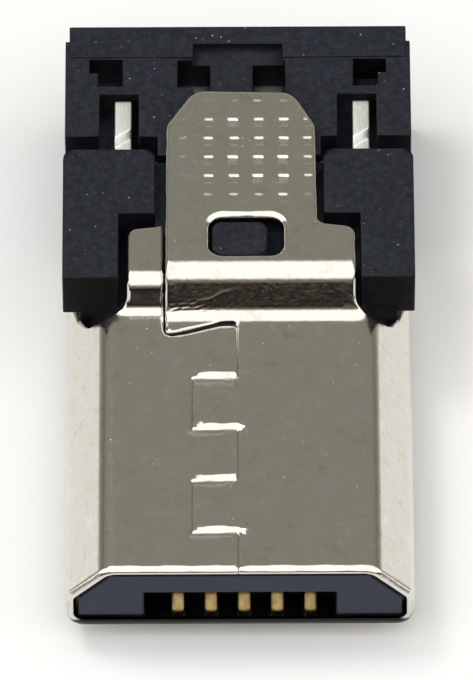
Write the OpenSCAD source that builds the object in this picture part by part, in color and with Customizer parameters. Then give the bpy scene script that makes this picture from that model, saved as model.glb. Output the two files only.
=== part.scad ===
// Five-contact micro plug with solder tails, for the end of a cable.
// Millimetres. The origin is the centre of the mating opening, on the plane of its front rim.
// +Y runs back along the plug and +Z points out of the narrow, seamed face of the shell.

/* [Shell] */
// Outside width of the shell, across its wide face
shell_w = 6.85; // [6.6:0.05:7.1]
// Outside height of the shell
shell_h = 1.80; // [1.75:0.05:2]
// Width of the narrow face between the corners of its chamfers
shell_top_w = 5.26; // [5.1:0.02:5.4]
// Height of the straight side walls under the chamfers
shell_side_h = 0.93; // [0.85:0.01:1]
// Length of the closed tube
tube_len = 6.72; // [6.6:0.02:7]
// Length of the side ears behind the tube
ear_len = 2.70; // [2.3:0.05:2.9]
// Thickness of the sheet
sheet_t = 0.20; // [0.17:0.01:0.22]
// Outside radius of the lengthwise bends
bend_r = 0.38; // [0.32:0.02:0.45]

/* [Seam] */
// Distance from the front rim to the first step of the seam
seam_first = 0.96; // [0.8:0.02:1.1]
// Length of each tooth of the seam
seam_pitch = 1.28; // [1.2:0.01:1.3]
// Width of the teeth
seam_tooth_w = 0.90; // [0.6:0.05:1.1]
// Distance from the middle of the last cross seam to the start of the step
seam_lead = 0.14; // [0.1:0.01:0.25]
// Offset of the last cross seam's two ends from its middle
seam_slant = 0.13; // [0:0.01:0.15]
// Length of the last cross seam's level ends
seam_level = 0.36; // [0.2:0.02:0.5]
// Radius of the last cross seam's bends
seam_wave_r = 0.40; // [0.2:0.05:0.6]
// Opening of the tight seam
seam_gap = 0.03; // [0.02:0.01:0.05]
// Opening of the slit beside the tab
slit_gap = 0.08; // [0.04:0.01:0.1]

/* [Strap and shield tab] */
// Distance from the front rim to the start of the step
step_start = 6.14; // [6:0.02:6.3]
// Rise from the narrow face to the tab
step_rise = 0.80; // [0.7:0.02:0.9]
// Slope of the step
step_slope = 56; // [54:1:70]
// Radius of the hollow bend at the foot of the step, on its outside face
step_foot_r = 0.34; // [0.3:0.02:0.42]
// Radius of the round bend at the head of the step, on its outside face
step_head_r = 0.54; // [0.4:0.02:0.56]
// Distance from the start of the strap's step to the start of the left strip's
strip_lag = 0.15; // [0:0.01:0.2]
// Drop from the tab's top to the top of the left strip
strip_drop = 0.15; // [0:0.01:0.18]
// Slope of the left strip's step
strip_slope = 70; // [60:1:75]
// Radius of the left strip's foot bend, on its outside face
strip_foot_r = 0.26; // [0.24:0.02:0.34]
// Radius of the left strip's head bend, on its outside face
strip_head_r = 0.43; // [0.35:0.01:0.5]
// Reach of the left strip's end behind the right shoulder
strip_reach = 0.06; // [0:0.01:0.1]
// Distance from the start of the step to the tube's rear edge at the chamfers
root_set = 0.20; // [0.1:0.01:0.25]
// Reach of the rear edge beside the strap behind that at the chamfers
root_flare = 0.20; // [0.1:0.01:0.25]
// Width of the strap that climbs the step
strap_w = 4.52; // [4.3:0.02:4.6]
// Distance of the strap and the tab from the middle plane
strap_shift = 0.05; // [0:0.01:0.1]
// Length from the front rim to the shoulders of the strap
shoulder_y = 8.09; // [7.9:0.01:8.2]
// Slant of the shoulders' ends
shoulder_slant = 0.10; // [0:0.01:0.15]
// Width of the shield tab
tab_w = 3.02; // [2.6:0.02:3.1]
// Length from the front rim to the end of the tab
tab_end = 11.50; // [11.3:0.05:11.6]
// Width of the tab's end corners
tab_corner_w = 0.58; // [0.3:0.02:0.7]
// Length of the tab's end corners
tab_corner_l = 0.88; // [0.6:0.02:1]
// Rounding of the tab's outline
tab_r = 0.22; // [0.1:0.02:0.24]
// Radius in plan of the corners at the tab's end
tab_end_r = 0.40; // [0.1:0.02:0.44]
// Width of the window in the tab
window_w = 1.52; // [1.2:0.02:1.7]
// Length of the window
window_l = 1.00; // [0.8:0.02:1.1]
// Distance from the start of the step to the window
window_set = 1.12; // [1.1:0.01:1.2]
// Rounding of the window's corners
window_r = 0.30; // [0.12:0.02:0.36]
// Distance of the window and the pits from the strap's middle
punch_shift = 0.10; // [0:0.01:0.1]
// Pitch of the pressed pits across the tab
pit_pitch = 0.50; // [0.45:0.01:0.5]
// Pitch of the pits along the tab
pit_pitch_l = 0.485; // [0.45:0.005:0.5]
// Distance from the window to the first pits
pit_set = 0.33; // [0.25:0.01:0.35]
// Pits across the tab
pit_cols = 6; // [3:1:6]
// Pits along the tab
pit_rows = 6; // [3:1:6]
// Width of a pit
pit_w = 0.26; // [0.2:0.01:0.3]
// Length of a pit
pit_l = 0.20; // [0.15:0.01:0.25]
// Depth of a pit
pit_depth = 0.05; // [0.03:0.01:0.08]

/* [Insulator] */
// Set-back of the insulator's face from the front rim
nose_set = 0.05; // [0.02:0.01:0.1]
// Gap between the insulator and the shell
nose_clear = 0.05; // [0.03:0.01:0.06]
// Width of the tongue slot
slot_w = 3.76; // [3.7:0.02:3.9]
// Depth of the tongue slot
slot_depth = 5.20; // [5:0.05:5.6]
// Thickness of the lip above the tongue slot
lip_t = 0.56; // [0.5:0.02:0.58]
// Thickness of the floor under the tongue slot
slot_floor_t = 0.22; // [0.18:0.01:0.25]
// Distance from the front rim to the slot floor
floor_set = 0.80; // [0.7:0.05:1]
// Side of the bevel round the foot of the face
nose_bevel = 0.04; // [0.02:0.01:0.1]
// Overhang of the raised blocks beyond the sides of the shell
overhang = 0.075; // [0.05:0.005:0.1]
// Height of the blocks' undersides above the wide face
overhang_z = 1.37; // [1.2:0.01:1.45]
// Drop from the tab's top to the top of the blocks
block_drop = 0.10; // [0.05:0.01:0.2]
// Gap between the tube and the blocks
block_gap = 0.04; // [0.02:0.01:0.1]
// Distance from the front rim to the blocks' inner step
block_step = 8.40; // [8.3:0.02:8.6]
// Gap between the strap's edges and the blocks
block_clear = 0.15; // [0.1:0.01:0.18]
// Distance of the gap between the blocks from the strap's middle
block_shift = -0.03; // [-0.06:0.01:0]
// Gap between the tab's edges and the blocks
tab_clear = 0.17; // [0.1:0.01:0.25]
// Rounding of the blocks' rear corners
block_r = 0.26; // [0.1:0.02:0.35]
// Distance from the front rim to the rear of the insulator
insulator_end = 9.95; // [9.8:0.05:10.1]
// Reach of the blocks beyond the rear of the insulator
block_reach = 0.10; // [0.05:0.01:0.15]
// Gap between the left strip and the shelf under it
shelf_gap = 0.05; // [0.04:0.01:0.1]
// Height of the window bump above the underside of the tab
bump_rise = 0.08; // [0:0.01:0.15]
// Width of the window bump
bump_w = 1.10; // [0.8:0.02:1.2]
// Gap between the window's edges and the bump
bump_clear = 0.08; // [0.05:0.01:0.1]

/* [Rear spacer] */
// Length of the spacer's top plate behind the insulator
spacer_l = 3.34; // [3.2:0.02:3.5]
// Set-in of the spacer's sides from the sides of the blocks
spacer_inset = 0.03; // [0:0.01:0.05]
// Gap between the insulator and the spacer
spacer_gap = 0.05; // [0.03:0.01:0.1]
// Drop from the tab's top to the top of the spacer
spacer_drop = 0.25; // [0.21:0.01:0.3]
// Thickness of the top plate
plate_t = 0.83; // [0.75:0.01:0.9]
// Set-back of the two arms from the insulator's rear
arm_set = 0.55; // [0.45:0.01:0.65]
// Width of the side rails
rail_w = 0.70; // [0.66:0.01:0.72]
// Height of the rear bar above the top plate
bar_rise = 0.03; // [0.02:0.01:0.08]
// Length of the rear bar
bar_l = 0.80; // [0.7:0.02:0.85]
// Narrowing of the rear end on each side
tail_notch_w = 0.08; // [0.04:0.01:0.12]
// Length of the narrowed rear end
tail_notch_l = 0.36; // [0.2:0.02:0.5]
// Width of the middle recess
recess_w = 1.80; // [1.6:0.02:1.9]
// Depth of the middle recess
recess_depth = 0.17; // [0.1:0.01:0.2]
// Distance from the rear end to the recess
recess_set = 0.45; // [0.35:0.01:0.55]
// Side of the two square holes
hole_w = 0.65; // [0.5:0.01:0.7]
// Length of the two square holes
hole_l = 0.70; // [0.55:0.01:0.75]
// Distance from the rear end to the holes
hole_set = 0.86; // [0.84:0.01:0.95]
// Width of the stepped outer holes
step_hole_w = 0.66; // [0.5:0.01:0.7]
// Width left out of the stepped holes' front half
step_hole_cut = 0.17; // [0.1:0.01:0.3]
// Distance between the inner edges of the stepped holes
step_hole_span = 4.64; // [4.5:0.02:4.7]
// Width of the two latch slots
latch_slot_w = 0.79; // [0.7:0.01:0.85]
// Floor height of the latch slots above the top plate's underside
latch_slot_floor = 0.18; // [0.1:0.01:0.2]
// Distance from the rear end to the latch slots
latch_slot_set = 1.74; // [1.7:0.01:1.8]
// Thickness of the ribs between the solder tails
rib_t = 0.26; // [0.2:0.01:0.35]
// Height of the ribs
rib_h = 0.40; // [0.2:0.02:0.6]
// Width of the pegs that locate the spacer
peg_w = 0.20; // [0.15:0.01:0.22]
// Height of the pegs
peg_h = 0.45; // [0.3:0.01:0.5]
// Depth of the pegs in the insulator
peg_l = 0.60; // [0.4:0.02:0.8]
// Gap round the pegs
peg_clear = 0.02; // [0.01:0.01:0.03]

/* [Contacts] */
// Pitch of the five contacts
contact_pitch = 0.65; // [0.63:0.01:0.67]
// Distance of the contact row from the middle plane
contact_shift = 0.08; // [0:0.01:0.1]
// Width of a contact
contact_w = 0.25; // [0.2:0.01:0.28]
// Thickness of a contact
contact_t = 0.13; // [0.1:0.01:0.15]
// Distance from the front rim to the contact tips
tip_y = 0.16; // [0.14:0.01:0.25]
// Height of the tips above the shell's wide wall
tip_z = 0.15; // [0.12:0.01:0.2]
// Distance from the front rim to the crest of a contact
crest_y = 1.35; // [1.2:0.05:1.6]
// Height of the crest above the slot floor
crest_rise = 0.16; // [0.1:0.01:0.2]
// Distance from the front rim to the rise behind the contacts
rise_y = 9.15; // [9.1:0.05:9.3]
// Radius of the crest
crest_r = 0.34; // [0.3:0.02:0.5]
// Radius of the contact bends
contact_r = 0.22; // [0.15:0.01:0.25]
// Distance from the rear end to the tips of the solder tails
tail_set = 0.55; // [0.4:0.05:0.8]
// Width of a solder tail
tail_w = 0.66; // [0.4:0.02:0.7]
// Distance between the inner solder tails
tail_inner = 1.51; // [1.4:0.01:1.6]
// Distance of the inner solder tails from the middle plane
tail_shift = -0.13; // [-0.15:0.01:0]
// Distance between the outer solder tails
tail_outer = 4.35; // [4.2:0.01:4.4]
// Gap round a contact in the insulator and the spacer
contact_clear = 0.02; // [0.01:0.01:0.03]
// Gap beside a contact in the slot floor
groove_clear = 0.06; // [0.04:0.01:0.08]

/* [Latches] */
// Distance between the two latches
latch_span = 4.77; // [4.7:0.01:4.8]
// Distance of the latch pair from the middle plane
latch_shift = 0.08; // [0:0.01:0.1]
// Thickness of a latch
latch_t = 0.34; // [0.3:0.01:0.36]
// Distance from the front rim to the hooks
hook_y = 1.75; // [1.6:0.05:2]
// Reach of the hooks below the wide face
hook_drop = 0.40; // [0.3:0.01:0.45]
// Length of the hooks' flat tips
hook_tip = 0.22; // [0.15:0.01:0.3]
// Length of the hooks' lead-in slope
hook_lead = 0.62; // [0.5:0.02:0.8]
// Underside of a latch arm above the shell's wide wall
arm_z = 0.14; // [0.1:0.01:0.2]
// Depth of a latch arm
arm_h = 0.28; // [0.2:0.01:0.3]
// Distance from the front rim to the upright of a latch
upright_y = 8.85; // [8.8:0.05:9]
// Length of the upright
upright_l = 0.62; // [0.5:0.02:0.7]
// Distance from the blocks' rear to the kink of the tail
kink_set = 0.46; // [0.2:0.02:0.5]
// Length of the kink
kink_l = 0.16; // [0.1:0.01:0.2]
// Height of the kink
kink_h = 0.14; // [0.08:0.01:0.2]
// Depth of the tail behind the kink
latch_tail_h = 0.34; // [0.28:0.01:0.36]
// Drop from the spacer's top to the latch tail
latch_tail_drop = 0.10; // [0.08:0.01:0.16]
// Gap from the end of the latch tail to the slot's rear wall
latch_tail_gap = 0.08; // [0.07:0.01:0.12]
// Gap beside a latch
latch_clear = 0.05; // [0.03:0.01:0.06]
// Travel of a latch arm above its rest place
latch_travel = 0.55; // [0.5:0.01:0.6]
// Gap round a hook in the shell's slots
hook_clear = 0.14; // [0.1:0.01:0.2]
// Rounding of the latch outline
latch_r = 0.07; // [0.04:0.01:0.08]

/* [Hidden] */
steel = "#c9c4b4";
spring = "#b9bbbd";
gold = "#c9a24a";
plastic = "#23262d";
grip = "#2a2d35";
arc_n = 6;
past = 1;

// heights above the wide face
tab_z = shell_h + step_rise;
block_z = tab_z - block_drop;
spacer_z = tab_z - spacer_drop;
plate_z = spacer_z - plate_t;
shelf_z = tab_z - sheet_t - strip_drop - shelf_gap;
inset = sheet_t + nose_clear;
slot_roof = shell_h - inset - lip_t;
slot_floor = inset + slot_floor_t;
inner_half = shell_w / 2 - inset;
body_half = shell_w / 2 + overhang;
spacer_half = body_half - spacer_inset;
// lengths from the front rim
ear_end = tube_len + ear_len;
block_front = tube_len + block_gap;
block_rear = insulator_end + block_reach;
spacer_front = insulator_end + spacer_gap;
arm_front = insulator_end + arm_set;
spacer_end = spacer_front + spacer_l;
cross_seam = step_start - seam_lead;
window_y = step_start + window_set;
// the strap and the tab, left and right edges
strap_l = strap_shift - strap_w / 2;
strap_r = strap_shift + strap_w / 2;
tab_l = strap_shift - tab_w / 2;
tab_rt = strap_shift + tab_w / 2;
punch_x = strap_shift + punch_shift;
window_x = punch_x - window_w / 2;
gap_mid = strap_shift + block_shift;
gap_half = strap_w / 2 + block_clear;
shelf_l = gap_mid - tab_w / 2 - tab_clear;
shelf_r = gap_mid + tab_w / 2 + tab_clear;
slit_mid = tab_l - slit_gap / 2;
strip_end = shoulder_y + strip_reach;
root_y = step_start + root_set;
// contacts
contact_x = [for (k = [-2:2]) contact_shift + k * contact_pitch];
tail_x = [
    -tail_outer / 2, tail_shift - tail_inner / 2, tail_shift + tail_inner / 2, undef,
    tail_outer / 2
];
root_z = slot_floor - contact_t / 2;
crest_z = slot_floor + crest_rise;
tail_z = plate_z - contact_clear - contact_t / 2;
jog_y = insulator_end - spacer_gap;
jog_end = arm_front;
tail_end = spacer_end - tail_set;
rib_x = [
    (tail_x[0] + tail_x[1]) / 2, (tail_x[1] + tail_x[2]) / 2, (tail_x[2] + tail_x[4]) / 2
];
// latches
latch_x = [latch_shift - latch_span / 2, latch_shift + latch_span / 2];
arm_low = sheet_t + arm_z;
arm_top = arm_low + arm_h;
latch_tail_z = spacer_z - latch_tail_drop;
latch_tail_end = spacer_end - latch_slot_set - latch_tail_gap;
upright_end = upright_y + upright_l;
kink_y = block_rear + kink_set;
hook_front = hook_y - hook_tip / 2 - hook_lead;
hook_back = hook_y + hook_tip;
channel_half = latch_t / 2 + latch_clear;
rail_in = spacer_half - rail_w;

// Two-dimensional helpers: a corner turned on an arc, closed loops and strips of even thickness.
function unit(v) = v / norm(v);
function normal(v) = [-v[1], v[0]];
function turned(v, a) = [v[0] * cos(a) - v[1] * sin(a), v[0] * sin(a) + v[1] * cos(a)];
function turn(a, b, c) =
    let (d = unit(b - a), e = unit(c - b)) atan2(d[0] * e[1] - d[1] * e[0], d * e);
function corner(a, b, c, r, off) =
    let (
        d = unit(b - a),
        t = turn(a, b, c),
        s = sign(t),
        centre = b - d * r * tan(abs(t) / 2) + normal(d) * s * r
    )
    [for (k = r > 0 ? [0:arc_n] : [0:0]) centre - turned(normal(d), t * k / arc_n) * s * (r - s * off)];
function loop(p, r, off = 0) =
    let (n = len(p))
    [for (i = [0:n - 1]) each corner(p[(i + n - 1) % n], p[i], p[(i + 1) % n], r[i], off)];
function side(p, r, off) =
    let (n = len(p))
    concat(
        [p[0] + normal(unit(p[1] - p[0])) * off],
        [for (i = [1:n - 2]) each corner(p[i - 1], p[i], p[i + 1], r[i - 1], off)],
        [p[n - 1] + normal(unit(p[n - 1] - p[n - 2])) * off]
    );
function reversed(p) = [for (i = [len(p) - 1:-1:0]) p[i]];
function strip(p, r, t) = concat(side(p, r, t / 2), reversed(side(p, r, -t / 2)));
function box_loop(x0, y0, x1, y1, r) =
    loop([[x0, y0], [x1, y0], [x1, y1], [x0, y1]], [r, r, r, r]);
function same(r, n) = [for (i = [1:n]) r];

// Profiles carried along Y, across X and up Z, and a plain box between two corners.
module along_y(a, b) translate([0, b, 0]) rotate([90, 0, 0]) linear_extrude(b - a) children();
module across_x(a, b) translate([a, 0, 0]) rotate([90, 0, 90]) linear_extrude(b - a) children();
module up_z(a, b) translate([0, 0, a]) linear_extrude(b - a) children();
module box(a, b) translate(a) cube(b - a);
module in_frame() translate([0, 0, -shell_h / 2]) children();

// Section of the shell, drawn in from its outside by a given distance.
function shell_loop(off) =
    loop(
        [
            [-shell_w / 2, 0], [shell_w / 2, 0], [shell_w / 2, shell_side_h],
            [shell_top_w / 2, shell_h], [-shell_top_w / 2, shell_h], [-shell_w / 2, shell_side_h]
        ],
        same(bend_r, 6),
        off
    );

// Side view of a step in the sheet: foot bend, slope, head bend and the flat behind it.
module step_profile(start, rise, slope, foot_r, head_r) {
    foot_mid = foot_r + sheet_t / 2;
    head_mid = head_r - sheet_t / 2;
    low_z = shell_h - sheet_t / 2;
    foot_y = start + foot_mid * tan(slope / 2);
    head_y = foot_y + rise / tan(slope);
    path = [
        [cross_seam, low_z], [foot_y, low_z], [head_y, low_z + rise], [tab_end + past, low_z + rise]
    ];
    polygon(strip(path, [foot_mid, head_mid], sheet_t));
}

// What is cut away behind the tube: flared beside the strap's root, slanted over the chamfers.
module rear_cut_outline()
    polygon([
        [-shell_w, tube_len], [-inner_half, tube_len], [-shell_top_w / 2, root_y],
        [strap_l, root_y + root_flare], [strap_l, step_start],
        [strap_r, step_start], [strap_r, root_y + root_flare],
        [shell_top_w / 2, root_y], [inner_half, tube_len], [shell_w, tube_len],
        [shell_w, ear_end + past], [-shell_w, ear_end + past]
    ]);

module tab_outline()
    polygon(
        loop(
            [
                [strap_l, cross_seam], [strap_r, cross_seam], [strap_r, shoulder_y - shoulder_slant],
                [tab_rt, shoulder_y], [tab_rt, tab_end - tab_corner_l],
                [tab_rt - tab_corner_w, tab_end], [tab_l + tab_corner_w, tab_end],
                [tab_l, tab_end - tab_corner_l], [tab_l, strip_end], [strap_l, strip_end - shoulder_slant]
            ],
            [0, 0, tab_r, tab_r, tab_end_r, tab_end_r, tab_end_r, tab_end_r, 0, tab_r]
        )
    );

// Square-wave seam in the narrow face, with a wavy last run that ends in the slit beside the tab.
module seam() {
    step = [for (k = [0:3]) seam_first + k * seam_pitch];
    high = cross_seam + seam_slant;
    low = cross_seam - seam_slant;
    path = [
        [0, -past], [0, step[0]], [-seam_tooth_w, step[0]], [-seam_tooth_w, step[1]],
        [0, step[1]], [0, step[2]], [-seam_tooth_w, step[2]], [-seam_tooth_w, step[3]],
        [0, step[3]], [0, high], [-seam_level, high], [tab_l + seam_level, low],
        [slit_mid, low]
    ];
    radii = concat(same(2 * seam_gap, 9), same(seam_wave_r, 2));
    seam_z = shell_h - sheet_t - seam_gap;
    up_z(seam_z, tab_z + past) polygon(strip(path, radii, seam_gap));
    box([tab_l - slit_gap, low - seam_gap / 2, seam_z], [tab_l, strip_end + slit_gap, tab_z + past]);
}

module pits()
    for (i = [0:pit_cols - 1])
        for (j = [0:pit_rows - 1])
            translate([
                punch_x + (i - (pit_cols - 1) / 2) * pit_pitch - pit_w / 2,
                window_y + window_l + pit_set + j * pit_pitch_l,
                tab_z - pit_depth
            ])
                cube([pit_w, pit_l, pit_depth + past]);

module shell()
    color(steel)
        in_frame()
            difference() {
                union() {
                    difference() {
                        along_y(0, ear_end)
                            difference() {
                                polygon(shell_loop(0));
                                polygon(shell_loop(sheet_t));
                            }
                        up_z(shell_side_h, shell_h + past) rear_cut_outline();
                    }
                    intersection() {
                        union() {
                            across_x(strap_l, slit_mid)
                                step_profile(
                                    step_start + strip_lag, step_rise - strip_drop, strip_slope,
                                    strip_foot_r, strip_head_r
                                );
                            across_x(slit_mid, strap_r)
                                step_profile(step_start, step_rise, step_slope, step_foot_r, step_head_r);
                        }
                        up_z(0, tab_z + past) tab_outline();
                    }
                }
                seam();
                pits();
                up_z(shell_h, tab_z + past)
                    polygon(box_loop(window_x, window_y, window_x + window_w, window_y + window_l, window_r));
                for (x = latch_x)
                    box(
                        [x - latch_t / 2 - hook_clear, hook_front - hook_clear, -past],
                        [x + latch_t / 2 + hook_clear, hook_back + 2 * hook_clear, 2 * sheet_t]
                    );
            }

// One side block in plan: narrow beside the strap, wide beside the tab.
module block_outline(outer, front_in, rear_in)
    polygon(
        loop(
            outer < 0
                ? [
                    [outer, block_front], [front_in, block_front], [front_in, block_step],
                    [rear_in, block_step], [rear_in, block_rear], [outer, block_rear]
                ]
                : [
                    [front_in, block_front], [outer, block_front], [outer, block_rear],
                    [rear_in, block_rear], [rear_in, block_step], [front_in, block_step]
                ],
            outer < 0 ? [0, 0, 0, 0, block_r, block_r] : [0, 0, block_r, block_r, 0, 0]
        )
    );

module pegs(grow)
    for (s = [-1, 1]) {
        a = s < 0 ? -rail_in - peg_w : rail_in;
        box(
            [a - grow, insulator_end - peg_l - grow, shell_side_h - peg_h - grow],
            [a + peg_w + grow, spacer_front + spacer_gap + block_reach, shell_side_h + grow]
        );
    }

module insulator()
    color(plastic)
        in_frame()
            difference() {
                union() {
                    along_y(nose_set, insulator_end) polygon(shell_loop(inset));
                    box(
                        [-inner_half, block_front, shell_side_h + nose_clear],
                        [inner_half, insulator_end, overhang_z]
                    );
                    up_z(overhang_z, block_z) {
                        block_outline(-body_half, gap_mid - gap_half, shelf_l);
                        block_outline(body_half, gap_mid + gap_half, shelf_r);
                    }
                    box([shelf_l, window_y - bump_clear, slot_roof], [shelf_r, insulator_end, shelf_z]);
                    up_z(slot_roof, tab_z - sheet_t + bump_rise)
                        polygon(
                            box_loop(
                                window_x + bump_clear, window_y + bump_clear,
                                window_x + bump_clear + bump_w, window_y + window_l - bump_clear,
                                window_r - bump_clear
                            )
                        );
                }
                box([-slot_w / 2, -past, -past], [slot_w / 2, floor_set, slot_roof]);
                box([-slot_w / 2, -past, slot_floor], [slot_w / 2, slot_depth, slot_roof]);
                across_x(-shell_w, shell_w)
                    polygon([
                        [nose_set - past, inset - past], [nose_set + nose_bevel + past, inset - past],
                        [nose_set - past, inset + nose_bevel + past]
                    ]);
                for (x = contact_x)
                    box(
                        [x - contact_w / 2 - groove_clear, -past, -past],
                        [x + contact_w / 2 + groove_clear, slot_depth, slot_roof]
                    );
                for (k = [0:4])
                    contact_form(k, contact_clear);
                for (x = latch_x) {
                    box(
                        [x - channel_half, hook_front - hook_clear, -past],
                        [x + channel_half, insulator_end + past, arm_low + latch_travel + arm_h]
                    );
                    box(
                        [x - channel_half, upright_y - hook_clear, -past],
                        [x + channel_half, block_rear + past, latch_tail_z - kink_h + 2 * latch_clear]
                    );
                }
                pegs(peg_clear);
            }

module rear_spacer()
    color(grip)
        in_frame()
            difference() {
                union() {
                    up_z(plate_z, spacer_z)
                        polygon([
                            [shelf_l + spacer_gap, spacer_front], [shelf_r - spacer_gap, spacer_front],
                            [shelf_r - spacer_gap, arm_front], [spacer_half, arm_front],
                            [spacer_half, spacer_end - tail_notch_l],
                            [spacer_half - tail_notch_w, spacer_end - tail_notch_l],
                            [spacer_half - tail_notch_w, spacer_end],
                            [tail_notch_w - spacer_half, spacer_end],
                            [tail_notch_w - spacer_half, spacer_end - tail_notch_l],
                            [-spacer_half, spacer_end - tail_notch_l], [-spacer_half, arm_front],
                            [shelf_l + spacer_gap, arm_front]
                        ]);
                    box(
                        [tail_notch_w - spacer_half, spacer_end - bar_l, plate_z],
                        [spacer_half - tail_notch_w, spacer_end, spacer_z + bar_rise]
                    );
                    for (s = [-1, 1]) {
                        a = s < 0 ? -spacer_half : rail_in;
                        box(
                            [a, block_rear + spacer_gap, -hook_drop],
                            [a + rail_w, spacer_end - tail_notch_l, plate_z + sheet_t]
                        );
                    }
                    for (x = rib_x)
                        box(
                            [x - rib_t / 2, jog_end + rib_t, plate_z - rib_h],
                            [x + rib_t / 2, spacer_end, plate_z + sheet_t]
                        );
                    pegs(0);
                }
                // recess along the middle, open to the front
                box(
                    [-recess_w / 2, spacer_front - past, spacer_z - recess_depth],
                    [recess_w / 2, spacer_end - recess_set, spacer_z + past]
                );
                // room for the solder tails beside the ribs and rails
                for (x = tail_x)
                    if (!is_undef(x))
                        box(
                            [x - tail_w / 2 - contact_clear, jog_y, plate_z - rib_h],
                            [x + tail_w / 2 + contact_clear, tail_end + contact_clear, tail_z + contact_t / 2]
                        );
                // square holes over the inner tails
                for (k = [1, 2])
                    box(
                        [tail_x[k] - hole_w / 2, spacer_end - hole_set - hole_l, plate_z - past],
                        [tail_x[k] + hole_w / 2, spacer_end - hole_set, spacer_z + past]
                    );
                // stepped holes over the outer tails
                for (s = [0, 1])
                    mirror([s, 0, 0]) {
                        a = step_hole_span / 2;
                        y = spacer_end - hole_set + bar_rise;
                        floor_z = plate_z + latch_slot_floor;
                        box([a, y - hole_l / 2, floor_z], [a + step_hole_w, y, spacer_z + past]);
                        box([a, y - hole_l, floor_z], [a + step_hole_w - step_hole_cut, y, spacer_z + past]);
                        // latch slot, open to the front
                        c = latch_span / 2;
                        box(
                            [c - latch_slot_w / 2, spacer_front - past, plate_z + latch_slot_floor],
                            [c + latch_slot_w / 2, spacer_end - latch_slot_set, spacer_z + past]
                        );
                    }
            }

// Side view of a contact: tip, crest, held root, rise and solder tail, as the path of a strip.
module contact_profile(short, grow) {
    front = [[tip_y, sheet_t + tip_z], [crest_y, crest_z], [slot_depth - contact_r, root_z]];
    rear = short
        ? [[rise_y - 2 * contact_r, root_z]]
        : [[rise_y, root_z], [rise_y, tail_z], [tail_end + past, tail_z]];
    r = short ? [crest_r, contact_r] : [crest_r, contact_r, contact_r, contact_r];
    polygon(strip(concat(front, rear), r, contact_t + 2 * grow));
}

// One contact, or with grow the passage for it.
module contact_form(k, grow) {
    short = is_undef(tail_x[k]);
    x = contact_x[k];
    h = contact_w / 2 + grow;
    intersection() {
        across_x(-body_half, body_half) contact_profile(short, grow);
        up_z(-past, tab_z)
            polygon(
                short
                    ? [[x - h, 0], [x + h, 0], [x + h, rise_y], [x - h, rise_y]]
                    : [
                        [x - h, 0], [x + h, 0], [x + h, jog_y], [tail_x[k] + tail_w / 2, jog_end],
                        [tail_x[k] + tail_w / 2, tail_end], [tail_x[k] - tail_w / 2, tail_end],
                        [tail_x[k] - tail_w / 2, jog_end], [x - h, jog_y]
                    ]
            );
    }
}

module contact(k) color(gold) in_frame() contact_form(k, 0);
module contact_1() contact(0);
module contact_2() contact(1);
module contact_3() contact(2);
module contact_4() contact(3);
module contact_5() contact(4);

// Side view of a latch: hook, spring arm, upright and kinked tail.
module latch_profile() {
    tail_low = latch_tail_z - latch_tail_h;
    points = [
        [hook_y - hook_tip / 2, -hook_drop], [hook_y + hook_tip / 2, -hook_drop],
        [hook_back, arm_low], [upright_y, arm_low], [upright_y + arm_h, arm_low],
        [upright_end, arm_low + arm_h], [upright_end, tail_low], [latch_tail_end, tail_low],
        [latch_tail_end, latch_tail_z], [kink_y + kink_l, latch_tail_z],
        [kink_y, latch_tail_z - kink_h], [upright_y, latch_tail_z - kink_h],
        [upright_y, arm_top + arm_h], [upright_y - arm_h, arm_top], [hook_front, arm_top],
        [hook_front, arm_low]
    ];
    r = latch_r;
    polygon(loop(points, [r, r, r, 0, r, r, r, r, r, r, r, r, r, r, r, r]));
}

module latch(k)
    color(spring)
        in_frame()
            across_x(latch_x[k] - latch_t / 2, latch_x[k] + latch_t / 2) latch_profile();

module latch_left() latch(0);
module latch_right() latch(1);

shell();
insulator();
rear_spacer();
contact_1();
contact_2();
contact_3();
contact_4();
contact_5();
latch_left();
latch_right();
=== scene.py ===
import bmesh
import bpy
import numpy as np
from mathutils import Matrix, Vector
from mathutils.geometry import delaunay_2d_cdt


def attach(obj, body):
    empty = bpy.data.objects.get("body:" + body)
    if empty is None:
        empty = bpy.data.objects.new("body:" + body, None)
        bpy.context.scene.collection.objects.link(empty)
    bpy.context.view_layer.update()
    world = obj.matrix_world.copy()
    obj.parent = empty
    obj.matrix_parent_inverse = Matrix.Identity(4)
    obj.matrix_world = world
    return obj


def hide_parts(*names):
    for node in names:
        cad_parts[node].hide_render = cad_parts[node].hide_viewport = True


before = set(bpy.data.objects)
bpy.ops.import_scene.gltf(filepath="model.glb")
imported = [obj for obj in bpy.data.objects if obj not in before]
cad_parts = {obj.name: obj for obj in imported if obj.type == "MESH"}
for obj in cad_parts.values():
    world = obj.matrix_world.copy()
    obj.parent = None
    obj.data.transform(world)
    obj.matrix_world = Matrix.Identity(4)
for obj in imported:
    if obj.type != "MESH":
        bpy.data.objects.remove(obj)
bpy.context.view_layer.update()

# Micro plug with solder tails. Shapes are worked out in millimetres in the frame of the part's
# source (x across, y back from the front rim, z up from the wide face) and written in metres.
# Finishes, floor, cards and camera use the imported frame, which starts half the shell's height up.

MM = 0.001
FLOOR_Z = -1.30

# Shell: outside sizes of the tube, its sheet and bends, and the gussets between tube and ears.
SHELL_W, SHELL_H, TOP_W, SIDE_H, NOSE_X = 6.85, 1.80, 5.26, 0.93, 3.175
TUBE_END, EAR_END, SHEET, BEND_R, TOP_BEND_R = 6.72, 9.42, 0.17, 0.38, 0.50
GUSSET_X, GUSSET_END, GUSSET_FOOT = 3.23, 6.95, 7.50
GUSSET_R, EAR_ROOT_R, EAR_R = 0.05, 0.20, 0.08

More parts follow.
